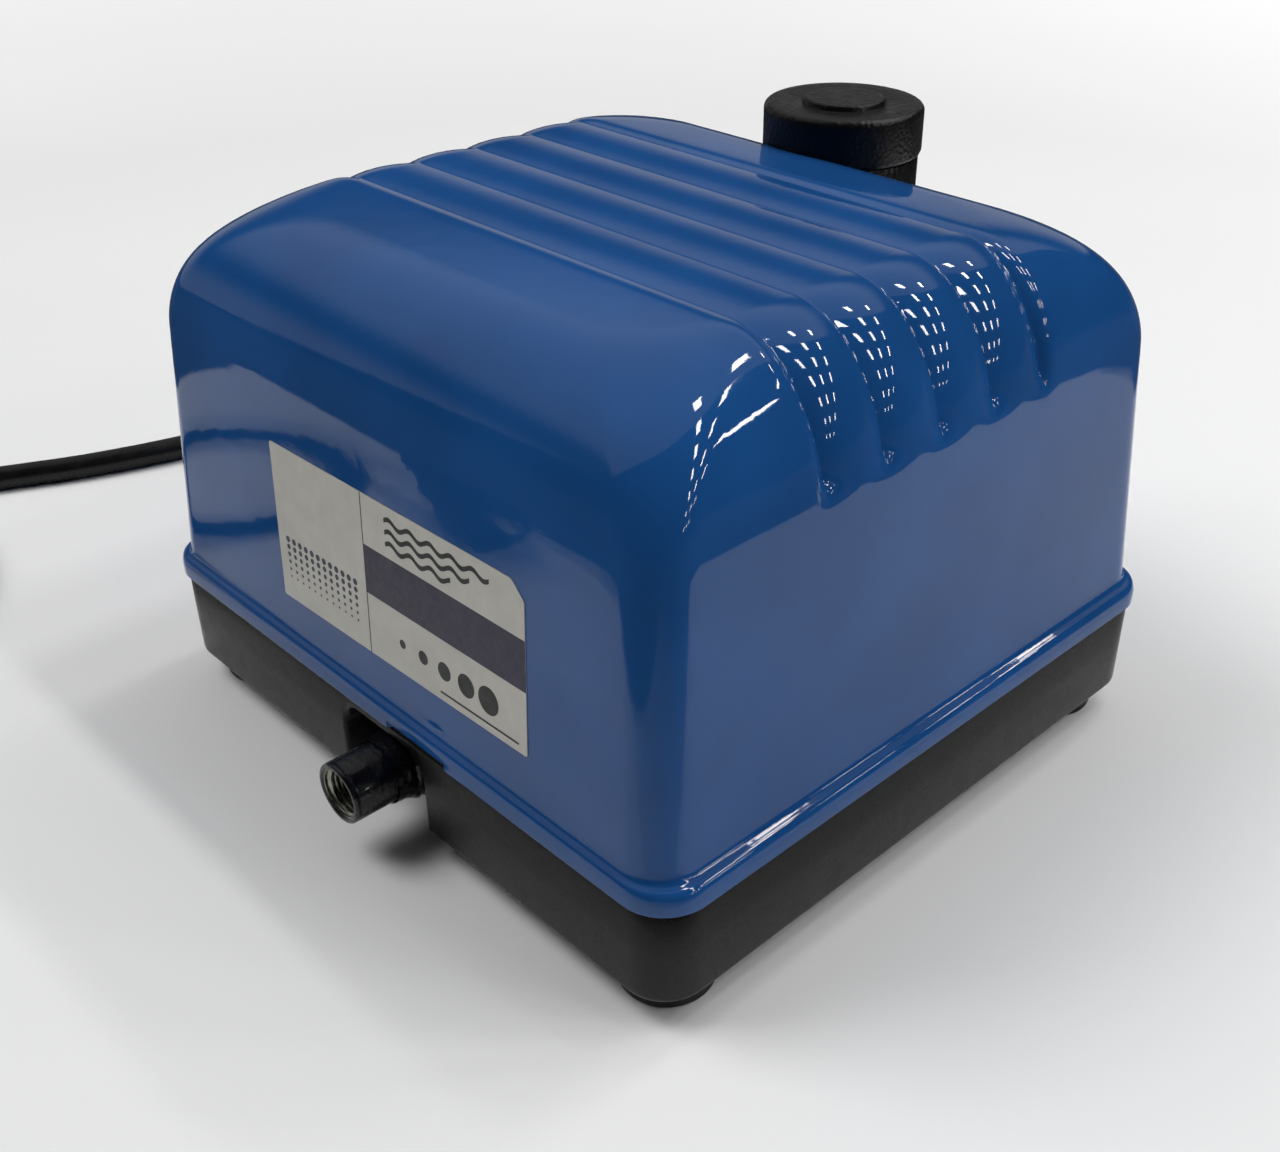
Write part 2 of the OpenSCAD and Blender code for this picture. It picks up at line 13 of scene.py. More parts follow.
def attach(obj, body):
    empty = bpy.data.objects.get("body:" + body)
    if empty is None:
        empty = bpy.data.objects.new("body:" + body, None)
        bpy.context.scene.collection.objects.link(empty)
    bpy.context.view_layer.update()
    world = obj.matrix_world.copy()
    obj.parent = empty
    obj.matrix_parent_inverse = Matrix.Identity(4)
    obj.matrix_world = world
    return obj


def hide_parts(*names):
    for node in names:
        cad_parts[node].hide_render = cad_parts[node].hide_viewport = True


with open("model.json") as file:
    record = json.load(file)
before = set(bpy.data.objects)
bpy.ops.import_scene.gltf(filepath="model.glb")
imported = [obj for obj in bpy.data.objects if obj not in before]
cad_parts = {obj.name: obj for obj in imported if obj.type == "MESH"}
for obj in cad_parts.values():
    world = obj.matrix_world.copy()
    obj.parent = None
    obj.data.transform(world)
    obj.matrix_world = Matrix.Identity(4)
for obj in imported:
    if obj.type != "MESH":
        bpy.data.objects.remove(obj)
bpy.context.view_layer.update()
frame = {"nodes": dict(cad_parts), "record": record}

MM = 0.001                       # a millimetre in Blender's metres

# ---- Main sizes ----

FLANGE = (105.0, 95.8, 12.8)     # the cover's foot bead: half length, half depth, corner radius
COVER_Z = 35.4                   # underside of the cover
WALL = (101.4, 93.9, 10.5)       # the wall's foot: half length, half depth, corner radius
DRAFT = 0.063                    # how far the wall leans in for each millimetre of height
SHOULDER_Z = 109.2               # foot of the shoulder, which is a quarter of an ellipse
SHOULDER_H = 36.6                # height of that ellipse
SHOULDER_IN = 29.4               # how far the shoulder comes in
SHOULDER_START = math.atan(DRAFT * SHOULDER_H / SHOULDER_IN)   # where wall and shoulder are tangent
COVER_TOP = SHOULDER_Z + SHOULDER_H
CROWN_CORNER = 27.0              # corner radius at the crown's edge
DOME_SLOPE = 0.095               # how steeply the crown falls away in front of the ribs and behind them
SKIN = 3.0                       # wall thickness of the casting

RIB_PITCH = 19.5
RIB_COUNT = 4
RIB_DEPTH = 3.0
SHOULDER_RIBS = 0.85             # how much of that depth the lower shoulder has
CROWN_RIBS = 0.26                # how much of it is left on the crown
RIB_RUNOUT = 4.5                 # how far the dip beside the outer crease spreads
RIB_FADE = math.radians(10)      # shoulder angle over which the creases run out

FILTER = (-10.0, 87.0)           # x and y of the filter's axis
TOWER_R = 22.6                   # the round tower under the filter
TOWER_TOP = 126.0
FILLET = 4.0                     # between the tower and the wall

TRAY_TOP = 34.6
TRAY_BOTTOM = 8.0
FOOT_AT = (88, 78.5)             # the feet's distance from the middle in x and y
OUTLET = (2.0, 20.0)             # x and z of the outlet's axis
OUTLET_END = -110.0              # y of the outlet's mouth
CORD_EXIT = (60, 20)             # y and z of the cord's axis where it leaves the tray
CORD_R = 4.25


# ---- Materials ----

class Nodes:
    """A node tree, with short calls that add nodes and return their outputs."""

    def __init__(self, tree):
        self.tree = tree

    def add(self, kind, **settings):
        """Adds a node and sets its properties."""
        node = self.tree.nodes.new(kind)
        for key, value in settings.items():
            setattr(node, key, value)
        return node

    def put(self, socket, value):
        """Joins an output to an input, or sets the input's value."""
        if isinstance(value, bpy.types.NodeSocket):
            self.tree.links.new(value, socket)
        else:
            socket.default_value = value

    def fill(self, node, **values):
        """Puts values in a node's inputs, named with _ for each space, and returns its outputs."""
        for key, value in values.items():
            self.put(node.inputs[key.replace("_", " ")], value)
        return node.outputs

    def mapped(self, value, start, end, low, high, way="LINEAR"):
        """Goes from low to high while the value goes from start to end."""
        node = self.add("ShaderNodeMapRange", interpolation_type=way)
        return self.fill(node, Value=value, From_Min=start, From_Max=end, To_Min=low, To_Max=high)[0]

    def combined(self, operation, a, b):
        node = self.add("ShaderNodeMath", operation=operation)
        self.put(node.inputs[0], a)
        self.put(node.inputs[1], b)
        return node.outputs[0]


class Shader(Nodes):
    """A material with one surface node."""

    def __init__(self, name):
        self.material = bpy.data.materials.new(name)
        self.material.use_nodes = True
        super().__init__(self.material.node_tree)
        self.tree.nodes.clear()
        self.surface = self.add("ShaderNodeBsdfPrincipled")
        output = self.add("ShaderNodeOutputMaterial")
        self.put(output.inputs[0], self.surface.outputs[0])
        self.place = self.add("ShaderNodeTexCoord").outputs["Object"]

    def set(self, **values):
        """Fills the surface node's inputs."""
        self.fill(self.surface, **values)

    def stretched(self, scale):
        """The object's coordinates, scaled along each axis."""
        return self.fill(self.add("ShaderNodeMapping"), Vector=self.place, Scale=scale)[0]

    def noise(self, size_mm, detail=3.0, rough=0.5, place=None):
        """Cloudy noise whose patches are about this size."""
        node = self.add("ShaderNodeTexNoise")
        return self.fill(node, Vector=place or self.place, Scale=1000.0 / size_mm, Detail=detail,
                         Roughness=rough)["Fac"]

    def cells(self, size_mm):
        """Distance from the middle of the nearest of many irregular cells."""
        node = self.add("ShaderNodeTexVoronoi")
        return self.fill(node, Vector=self.place, Scale=1000.0 / size_mm)["Distance"]

    def ramp(self, value, *stops):
        """A colour or grey for each stop (position, colour)."""
        node = self.add("ShaderNodeValToRGB")
        self.put(node.inputs[0], value)
        while len(node.color_ramp.elements) < len(stops):
            node.color_ramp.elements.new(0.5)
        for element, (at, colour) in zip(node.color_ramp.elements, stops):
            element.position = at
            element.color = (*colour, 1) if isinstance(colour, tuple) else (colour, colour, colour, 1)
        return node.outputs[0]

    def mottled(self, colour, size_mm, detail, dark, light):
        """The colour in patches that are this much darker and lighter."""
        return self.ramp(self.noise(size_mm, detail), (0.3, tone(colour, dark)), (0.7, tone(colour, light)))

    def spread(self, noise_value, low, high):
        """A noise's usual range, 0.3 to 0.7, mapped to low to high."""
        return self.mapped(noise_value, 0.3, 0.7, low, high)

    def bump(self, height, depth_mm, under=None):
        """A surface normal that follows this height, on top of another one if under is given."""
        node = self.add("ShaderNodeBump")
        if under is not None:
            self.put(node.inputs["Normal"], under)
        return self.fill(node, Strength=1.0, Distance=depth_mm * MM, Height=height)[0]


def tone(colour, amount):
    """The colour made darker or lighter."""
    return tuple(c * amount for c in colour)


def gloss_paint(name, colour):
    """Thick sprayed enamel: a deep colour under a clear, slightly rippled gloss."""
    s = Shader(name)
    s.set(Base_Color=s.ramp(s.noise(45, 2), (0.35, tone(colour, 0.9)), (0.65, tone(colour, 1.08))),
          Roughness=s.spread(s.noise(9), 0.34, 0.46), Specular_IOR_Level=0.0,
          Coat_Weight=1.0, Coat_IOR=1.40,
          Coat_Roughness=s.spread(s.noise(14), 0.02, 0.05),
          Coat_Normal=s.bump(s.noise(6.5, 2), 0.035))
    return s.material


def satin_paint(name, colour):
    """Thin satin paint over a casting, with a fine grain over broad waves."""
    s = Shader(name)
    grain = s.bump(s.noise(0.7, 4), 0.05)
    s.set(Base_Color=s.mottled(colour, 18, 5, 0.82, 1.2),
          Roughness=s.spread(s.noise(6), 0.22, 0.32), Specular_IOR_Level=0.20,
          Normal=s.bump(s.noise(12, 2), 0.06, grain))
    return s.material


def moulded(name, colour, rough=0.5, grain_mm=0.5, grain_depth=0.03):
    """Moulded plastic or rubber with a fine spark-eroded grain."""
    s = Shader(name)
    s.set(Base_Color=s.mottled(colour, 7, 4, 0.8, 1.25),
          Roughness=s.spread(s.noise(3), rough - 0.07, rough + 0.08), Specular_IOR_Level=0.28,
          Normal=s.bump(s.cells(grain_mm), grain_depth))
    return s.material


def metal(name, colour, rough=0.3, brushed=None):
    """Bare or plated metal, with fine marks along one way if brushed is given."""
    s = Shader(name)
    marks = s.noise(0.6, 4, 0.6, s.stretched(brushed) if brushed else None)
    s.set(Base_Color=s.mottled(colour, 5, 4, 0.8, 1), Metallic=1.0,
          Roughness=s.spread(marks, rough - 0.08, rough + 0.12), Normal=s.bump(marks, 0.012))
    return s.material


def cast_metal(name, colour):
    """Sand-cast aluminium, dull and pitted."""
    s = Shader(name)
    s.set(Base_Color=s.mottled(colour, 4, 5, 0.75, 1), Metallic=0.9,
          Roughness=s.spread(s.noise(1.5), 0.5, 0.68), Normal=s.bump(s.noise(0.9, 4), 0.12))
    return s.material


def layered(name, colour, pitch_mm, along, rough=0.35):
    """Laminations or wound wire: fine bands across one axis, darker in the grooves, partly as dark joints
    and partly as painted shade.
    """
    s = Shader(name)
    wave = s.add("ShaderNodeTexWave", wave_type="BANDS", bands_direction=along)
    scale = 1000.0 / pitch_mm / 20 * 2 * math.pi     # at scale 1 it makes 20 / (2 pi) bands to the metre
    bands = s.fill(wave, Vector=s.place, Scale=scale, Distortion=0.6)["Fac"]
    # darker where the bump sinks: the dark joints between sheets or turns, plus painted shade in the
    # grooves
    s.set(Base_Color=s.ramp(bands, (0.1, tone(colour, 0.45)), (0.6, colour)),
          Metallic=1.0, Roughness=rough, Normal=s.bump(bands, 0.2))
    return s.material


def open_foam(name, colour):
    """Open-cell foam with deep pores, painted darker in the pores as shade."""
    s = Shader(name)
    cells = s.cells(1.3)
    # painted shade: darker towards the middle of each cell, where the bump sinks a pore
    s.set(Base_Color=s.ramp(cells, (0.1, tone(colour, 0.3)), (0.6, colour)),
          Roughness=0.95, Normal=s.bump(cells, 0.6))
    return s.material


def wet_rubber(name, colour):
    """Dipped rubber: black, glossy and rippled."""
    s = Shader(name)
    s.set(Base_Color=s.mottled(colour, 5, 3, 1, 1.6),
          Roughness=s.spread(s.noise(4), 0.16, 0.34), Specular_IOR_Level=0.3,
          Coat_Weight=0.4, Coat_Roughness=0.06,
          Normal=s.bump(s.noise(1.8, 4), 0.35))
    return s.material


def paper(name, colour):
    """Printed vinyl film: a soft sheen and a faint mottle."""
    s = Shader(name)
    s.set(Base_Color=s.mottled(colour, 6, 5, 0.93, 1.03),
          Roughness=s.spread(s.noise(2), 0.36, 0.5),
          Normal=s.bump(s.noise(1.2, 4), 0.012))
    return s.material


MATERIALS = {
    "blue_paint": gloss_paint("blue_paint", (0.011, 0.075, 0.253)),
    "dark_cast": satin_paint("dark_cast", (0.0075, 0.0075, 0.0070)),
    "black_rubber": moulded("black_rubber", (0.010, 0.010, 0.010), rough=0.55, grain_mm=0.8),
    "label": paper("label_film", (0.56, 0.55, 0.50)),
    "zinc_steel": metal("zinc_steel", (0.62, 0.62, 0.60)),
    "black_plastic": moulded("black_plastic", (0.0045, 0.0045, 0.0044), rough=0.36, grain_mm=1.2,
                             grain_depth=0.16),
    "filter_foam": open_foam("filter_foam", (0.06, 0.06, 0.06)),
    "outlet_metal": wet_rubber("outlet_coat", (0.004, 0.004, 0.006)),
    "cast_aluminium": cast_metal("cast_aluminium", (0.55, 0.56, 0.57)),
    "core_steel": layered("core_steel", (0.30, 0.31, 0.33), pitch_mm=0.5, along="Z"),
    "ivory_plastic": moulded("ivory_plastic", (0.70, 0.66, 0.52), rough=0.4, grain_mm=0.6),
    "copper_wire": layered("copper_wire", (0.55, 0.20, 0.08), pitch_mm=0.6, along="Y", rough=0.3),
    "magnet": metal("magnet", (0.30, 0.31, 0.33), rough=0.42),
    "red_wire": moulded("red_wire", (0.45, 0.02, 0.015), rough=0.35, grain_mm=0.4, grain_depth=0.01),
    "cord_rubber": moulded("cord_rubber", (0.006, 0.006, 0.006), rough=0.3, grain_depth=0.012),
    "nickel_pin": metal("nickel_pin", (0.66, 0.62, 0.54), rough=0.22, brushed=(1, 14, 14)),
}
THREAD_METAL = metal("thread_metal", (0.42, 0.43, 0.36))
VIOLET_INK = paper("ink_dark", (0.028, 0.025, 0.055))
BLACK_INK = paper("ink_black", (0.012, 0.012, 0.012))

for part in frame["record"]["subparts"]:
    for place in frame["nodes"][part["node"]].material_slots:
        place.link = "OBJECT"
        place.material = MATERIALS[part["material_slot"]]


# ---- Making pieces ----

def show(obj, slot, *nodes, body="body"):
    """Puts a new piece on its body, as the stand-in for these CAD nodes."""
    if nodes:
        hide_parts(*nodes)
    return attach(obj, body)


def mesh_object(name, points, faces, materials, face_materials=None, sharp=40):
    """An object from points in millimetres. Edges sharper than the angle are shaded sharp."""
    mesh = bpy.data.meshes.new(name)
    mesh.from_pydata([[c * MM for c in p] for p in points], [], faces)
    for material in materials:
        mesh.materials.append(material)
    if face_materials:
        mesh.polygons.foreach_set("material_index", face_materials)
    obj = bpy.data.objects.new(name, mesh)
    bpy.context.scene.collection.objects.link(obj)
    shade(mesh, sharp)
    return obj


def loft(rings, closed=False, caps=True):
    """Points and faces between rings of equal length: open, with flat ends, or closed to the first ring."""
    count = len(rings[0])
    points = [p for ring in rings for p in ring]
    faces = []
    last = len(rings) if closed else len(rings) - 1
    for k in range(last):
        low = k * count
        high = (k + 1) % len(rings) * count
        for i in range(count):
            j = (i + 1) % count
            faces.append((low + i, low + j, high + j, high + i))
    if caps and not closed:
        faces.append(tuple(reversed(range(count))))
        faces.append(tuple(range(len(points) - count, len(points))))
    return points, faces


def arc(centre, radius, start, end, steps):
    """Points on an arc, both ends included, angles in degrees."""
    return [(centre[0] + radius * math.cos(math.radians(start + (end - start) * i / steps)),
             centre[1] + radius * math.sin(math.radians(start + (end - start) * i / steps)))
            for i in range(steps + 1)]


def rounded_box(left, low, right, high, r, steps=5):
    """A box with round corners, anticlockwise from its lower right one."""
    return (arc((right - r, low + r), r, -90, 0, steps) + arc((right - r, high - r), r, 0, 90, steps)
            + arc((left + r, high - r), r, 90, 180, steps) + arc((left + r, low + r), r, 180, 270, steps))


def plain_box(left, low, right, high):
    return [(left, low), (right, low), (right, high), (left, high)]


def lifted(flat, z):
    """A flat outline's points at this height."""
    return [(x, y, z) for x, y in flat]


def shade(mesh, sharp=40):
    """Smooth shading, broken at edges sharper than the angle."""
    mesh.shade_smooth()
    mesh.set_sharp_from_angle(angle=math.radians(sharp))
    mesh.update()


# ---- Camera, light and floor ----

def aimed(name, data, at, towards):
    """A camera or lamp at this place in metres, turned towards another."""
    obj = bpy.data.objects.new(name, data)
    obj.location = at
    obj.rotation_euler = (Vector(towards) - Vector(at)).to_track_quat("-Z", "Y").to_euler()
    bpy.context.scene.collection.objects.link(obj)
    return obj


def camera():
    """The photograph's view: 46 degrees to the right of the front, looking 32 degrees down."""
    yaw = math.radians(45.74)
    pitch = math.radians(32.2)
    back = Vector((math.sin(yaw) * math.cos(pitch), -math.cos(yaw) * math.cos(pitch), math.sin(pitch)))
    target = Vector((10.99, 0, 37.29)) * MM
    distance = 0.422                 # metres
    data = bpy.data.cameras.new("camera")
    data.sensor_width = 36
    data.lens = 41.79
    data.shift_x = -0.0292
    data.shift_y = 0.0080
    data.clip_start = 0.01
    bpy.context.scene.camera = aimed("camera", data, target + back * distance, target)


def area_light(name, at, towards, size, power):
    data = bpy.data.lights.new(name, "AREA")
    data.shape = "RECTANGLE"
    data.size, data.size_y = size
    data.energy = power
    return aimed(name, data, at, towards)


def hall():
    """The world as the paint mirrors it: dark, with a pale wall on the left and haze along its foot."""
    world = bpy.data.worlds.new("studio")
    bpy.context.scene.world = world
    world.use_nodes = True
    nodes = Nodes(world.node_tree)
    direction = nodes.add("ShaderNodeTexCoord").outputs["Generated"]
    split = nodes.add("ShaderNodeSeparateXYZ")
    nodes.put(split.inputs[0], direction)
    aim = nodes.add("ShaderNodeVectorMath", operation="DOT_PRODUCT")
    nodes.put(aim.inputs[0], direction)
    aim.inputs[1].default_value = (-0.769, 0.239, 0.594)    # towards the middle of the pale wall
    height = split.outputs["Z"]  # of a direction, so from 0 at the horizon to 1 overhead
    side = nodes.mapped(aim.outputs["Value"], 0.48, 0.51, 0.0, 1.0, "SMOOTHSTEP")
    wall = nodes.mapped(height, 0.355, 0.55, 0.0, 0.50, "SMOOTHSTEP")
    haze = nodes.mapped(height, 0.10, 0.31, 0.36, 0.02, "SMOOTHSTEP")
    glow = nodes.combined("MULTIPLY", side, nodes.combined("ADD", wall, haze))
    nodes.put(world.node_tree.nodes["Background"].inputs["Color"], glow)


def lamps():
    """Rows of strip lamps, and one soft lamp that no mirror shows. In metres and watts."""
    ceiling = 2.0
    per_area = 101               # for each square metre of lamp
    for row, y in enumerate((0.65, 1.3, 2.1)):
        for out, x in enumerate((0.05, 0.6, 1.2, 1.95, 3.1, 5.0, 8.5)):
            size = (0.20 + 0.13 * x, 0.12)
            area_light(f"lamp_{row}_{out}", (x, y, ceiling), (x, y, 0), size, per_area * size[0] * size[1])
    fill = area_light("fill", (-1.2, -1.0, 2.2), (-0.2, 0, 0), (1.2, 1.2), 29)
    fill.visible_glossy = False


def hidden_from(obj, *kinds):
    """Makes an object invisible to these kinds of rays."""
    for kind in kinds:
        setattr(obj, "visible_" + kind, False)


def ring_levels(obj, name, inner):
    """A level for each point: 0 on the inner ring, 1 on the others."""
    level = obj.data.attributes.new(name, "FLOAT", "POINT")
    level.data.foreach_set("value", [0.0] * inner + [1.0] * (len(level.data) - inner))


def surround():
    """A dark sheet round a pale table shape that only mirrors see: painted dark reflections of the room in
    the glossy paint.
    """
    # The table's front right corner is cut so that the paint mirrors dark towards the camera's side.
    table = [(-330, -250), (70, -232), (125, -135), (300, 20), (318, 330), (-330, 330)]
    dark = [(-335, -262), (90, -250), (330, -250), (312, 20), (330, 345), (-345, 345)]
    far = [(x * 20, y * 20) for x, y in dark]
    points, faces = loft([lifted(edge, 0.5) for edge in (table, dark, far)], caps=False)
    s = Shader("mirrored_dark_floor")
    darkness = s.add("ShaderNodeAttribute", attribute_name="darkness").outputs["Fac"]
    # painted reflection: pale where the paint mirrors the table, dark beyond it
    s.set(Base_Color=s.ramp(darkness, (0.0, 0.72), (0.7, (0.24, 0.24, 0.245)), (1.0, 0.04)), Roughness=0.9)
    obj = mesh_object("mirrored_dark_surround", points, faces, [s.material])
    ring_levels(obj, "darkness", len(table))
    hidden_from(obj, "camera", "diffuse", "shadow", "transmission")


FLOOR_RADIUS = 1600.0
FLOOR_RIM = arc((0, 0), FLOOR_RADIUS, 0, 356.25, 95)


def floor():
    """A round pale floor that stays light to its rim."""
    near = [(x * 0.4, y * 0.4) for x, y in FLOOR_RIM]
    below = -0.1
    s = Shader("pale_floor")
    out = s.add("ShaderNodeAttribute", attribute_name="distance").outputs["Fac"]
    s.set(Base_Color=s.ramp(s.noise(400, 2), (0.3, 0.88), (0.7, 0.90)),
          Roughness=0.9, Specular_IOR_Level=0.1,
          Emission_Color=s.ramp(out, (0.0, 0.0), (1.0, 0.34)), Emission_Strength=1.0)
    points, faces = loft([lifted(near, below), lifted(FLOOR_RIM, below)], caps=False)
    obj = mesh_object("floor", points, faces + [list(range(len(near)))], [s.material])
    ring_levels(obj, "distance", len(near))


def backdrop():
    """A pale dome round the floor that lights nothing and that only the camera sees."""
    rings = []
    for out, up in arc((0, 0), 1.0, 0, 89, 16):
        rings.append([(x * out, y * out, FLOOR_RADIUS * up - 0.2) for x, y in FLOOR_RIM])
    s = Shader("pale_backdrop")
    glow = s.ramp(s.noise(600, 2), (0.3, 0.78), (0.7, 0.80))
    s.set(Base_Color=(0, 0, 0, 1), Specular_IOR_Level=0.0, Emission_Color=glow, Emission_Strength=1.0)
    obj = mesh_object("backdrop", *loft(rings), [s.material])
    hidden_from(obj, "diffuse", "glossy", "transmission", "shadow", "volume_scatter")


bpy.context.scene.view_settings.view_transform = "Standard"
camera()
hall()
lamps()
surround()
floor()
backdrop()


# ---- Mains cord ----

# The cord's middle line from the relief's tip to the coil, laid as in the CAD model.
RELIEF_TIP = -132
ROUTE = [
    (RELIEF_TIP, *CORD_EXIT), (-146, *CORD_EXIT), (-160, 59.5, 18.4), (-174, 57, 15), (-188, 51, 11.2),
    (-200, 42, 7.8), (-210, 30, 5.6), (-218, 15, 4.6), (-224, -2, 4.3), (-228, -18, 4.3),
    (-232, -34, 4.3), (-237, -50, 4.3), (-243, -66, 4.3), (-250, -81, 4.3), (-257, -96, 4.3),
    (-263, -112, 4.3), (-268, -128, 4.6), (-271, -144, 5), (-272, -160, 5.3),
]
COIL_AT = (-221.5, -174.0)       # x and y of the coil's middle
COIL_R = 46.0                    # to the middle of its turns
PLUG_AT = (COIL_AT[1] - COIL_R - CORD_R, 18.6)     # y and z of the plug's axis
PLUG_X = -170.0                  # where the cord goes into the plug
LEAD = [(-208, 14.1), (-194, 15.8), (-182, 17.9), (PLUG_X, PLUG_AT[1])]     # x and z from coil to plug


def ease(low, high, start, end, t):
    """Goes smoothly from low to high while t goes from start to end."""
    u = min(1.0, max(0.0, (t - start) / (end - start)))
    return low + (high - low) * u * u * (3 - 2 * u)


def coil_points():
    """Turns beside each other and on each other, entered at the left and left at the front."""
    outer = COIL_R + CORD_R
    inner = COIL_R - CORD_R
    low = 5.3
    high = low + 2 * CORD_R
    last, step = 1170, 18        # degrees
    points = []
    for turned_by in range(0, last + 1, step):
        radius = ease(outer, inner, 295, 348, turned_by) + ease(0, outer - inner, 890, 950, turned_by)
        z = ease(low, high, 590, 655, turned_by)
        angle = math.radians(180 + turned_by)
        points.append((COIL_AT[0] + radius * math.cos(angle), COIL_AT[1] + radius * math.sin(angle), z))
    return points


def power_cord(tie, plug):
    """The cord from the relief to the plug, as one curve."""
    points = ROUTE + coil_points() + [(x, PLUG_AT[0], z) for x, z in LEAD]
    curve = bpy.data.curves.new("mains_cord", "CURVE")
    curve.dimensions = "3D"
    curve.resolution_u = 8
    spline = curve.splines.new("BEZIER")
    spline.bezier_points.add(len(points) - 1)
    for at, p in zip(spline.bezier_points, points):
        at.co = [c * MM for c in p]
        at.handle_left_type = at.handle_right_type = "AUTO"
    curve.bevel_depth = CORD_R * MM
    curve.bevel_resolution = 8
    curve.use_fill_caps = True
    curve.materials.append(MATERIALS["cord_rubber"])
    cord = bpy.data.objects.new("mains_cord", curve)
    bpy.context.scene.collection.objects.link(cord)
    cord.visible_glossy = False
    show(cord, "cord_rubber", "power_cord", "cord_coil", "plug_lead")


# ---- Shapes made of rings ----

def turned_rings(profile, at, axis, sides=96, shape=None):
    """Rings of a profile of (radius, distance along the axis).

    at is the axis's place in the two other directions. shape(radius, along, angle) may change a radius.
    """
    rings = []
    for radius, along in profile:
        ring = []
        for i in range(sides):
            angle = 2 * math.pi * i / sides
            r = shape(radius, along, angle) if shape else radius
            a, b = r * math.cos(angle), r * math.sin(angle)
            if axis == "Z":
                ring.append((at[0] + a, at[1] + b, along))
            elif axis == "X":
                ring.append((along, at[0] + a, at[1] + b))
            else:
                ring.append((at[0] - a, along, at[1] + b))
        rings.append(ring)
    return rings


def lofted(name, rings, slot, node, closed=False, body="body"):
    """A piece made of rings that stands in for this CAD node."""
    obj = mesh_object(name, *loft(rings, closed), [MATERIALS[slot]])
    mend(obj)
    return show(obj, slot, node, body=body)


def turned(name, profile, at, axis, slot, node, closed=False, sides=96, shape=None, body="body"):
    """A turned piece that stands in for this CAD node."""
    return lofted(name, turned_rings(profile, at, axis, sides, shape), slot, node, closed, body)


def mend(obj, sharp=40):
    """Turns all faces outwards and shades again."""
    b = bmesh.new()
    b.from_mesh(obj.data)
    bmesh.ops.recalc_face_normals(b, faces=b.faces)
    b.to_mesh(obj.data)
    b.free()
    shade(obj.data, sharp)


def combine(obj, tool, operation):
    """Cuts the tool out of the object (DIFFERENCE) or joins it on (UNION), and deletes the tool."""
    modifier = obj.modifiers.new("combine", "BOOLEAN")
    modifier.operation = operation
    modifier.solver = "EXACT"
    modifier.object = tool
    graph = bpy.context.evaluated_depsgraph_get()
    result = bpy.data.meshes.new_from_object(obj.evaluated_get(graph))
    obj.modifiers.clear()
    obj.data = result
    bpy.data.objects.remove(tool)
    shade(result)


def tool_object(points, faces):
    """A shape to cut with or to join on."""
    obj = mesh_object("tool", points, faces, [])
    mend(obj)
    return obj


# ---- Cover ----

OUTER_CREASE = RIB_COUNT * RIB_PITCH / 2           # the outermost crease's distance from the middle
END_Y = (RIB_COUNT + 1) * RIB_PITCH / 2            # the rows of points on both ends reach to here
CREASE_STEPS = [0, 0.25, 0.55, 0.95, 1.5, 2.3, 3.4, 4.9, 7.0, RIB_PITCH / 2]   # rows beside a crease
CREASE_ROUND = 0.3               # rounds the bottom of a crease
CORNER_STEPS = 36
RUN_STEPS = 8
FILLET_STEPS = 7
TOWER_STEPS = 34
ZONE_COUNT = TOWER_STEPS + 1 + 2 * FILLET_STEPS    # points of the rear's zone round the tower
FRONT_ZONE = 37                  # half length of the front's zone, which has as many points
SIDE_COUNT = 2 * CORNER_STEPS + 2 * (RUN_STEPS - 1) + ZONE_COUNT
RECESS = (6.0, 29.0)             # left and right end of the dent in the flange above the outlet
RECESS_DEPTH = 1.3
RECESS_TOP = 37.6
LINER_R = 26.2                   # the inner skin stays this far from the filter's axis


def crease_rows():
    """The y of each row of points on the left and right end, close together at the creases."""
    rows = {-END_Y, END_Y}
    for k in range(RIB_COUNT + 1):
        crease = (k - RIB_COUNT / 2) * RIB_PITCH
        for step in CREASE_STEPS:
            rows |= {round(crease - step, 3), round(crease + step, 3)}
    return sorted(rows)


ROWS = crease_rows()


def crease_depth(y):
    """How far the surface dips at this depth: round ribs with creases between them."""
    if abs(y) >= OUTER_CREASE:
        return RIB_DEPTH * max(0.0, 1 - math.hypot(abs(y) - OUTER_CREASE, CREASE_ROUND) / RIB_RUNOUT) ** 2
    half = RIB_PITCH / 2
    from_ridge = abs((y + OUTER_CREASE) % RIB_PITCH - half)
    return RIB_DEPTH * ((half - math.hypot(half - from_ridge, CREASE_ROUND)) / half) ** 2


def dome_drop(y):
    """The crown falls away in front of the ribs and behind them, and the fall starts gently."""
    start = 4
    over = max(0.0, abs(y) - OUTER_CREASE)
    return DOME_SLOPE * (math.hypot(over, start) - start)


def side_x(hx, hy, r, y):
    """Where the right end of a rounded rectangle is at this y."""
    over = abs(y) - (hy - r)
    return hx if over <= 0 else hx - r + math.sqrt(max(0.0, r * r - over * over))


def between(a, b, steps):
    """Points between a and b, without either."""
    return [(a[0] + (b[0] - a[0]) * i / steps, a[1] + (b[1] - a[1]) * i / steps) for i in range(1, steps)]


def corner_path(hx, hy, r):
    """Evenly spaced points from the right end at END_Y round the corner to the rear's straight part."""
    straight = max(0.0, hy - r - END_Y)
    start = 0.0 if straight else math.asin(min(1.0, (END_Y - (hy - r)) / r))
    total = straight + r * (math.pi / 2 - start)
    path = []
    for i in range(CORNER_STEPS + 1):
        s = total * i / CORNER_STEPS
        if s < straight:
            path.append((hx, END_Y + s))
        else:
            angle = start + (s - straight) / r
            path.append((hx - r + r * math.cos(angle), hy - r + r * math.sin(angle)))
    return path


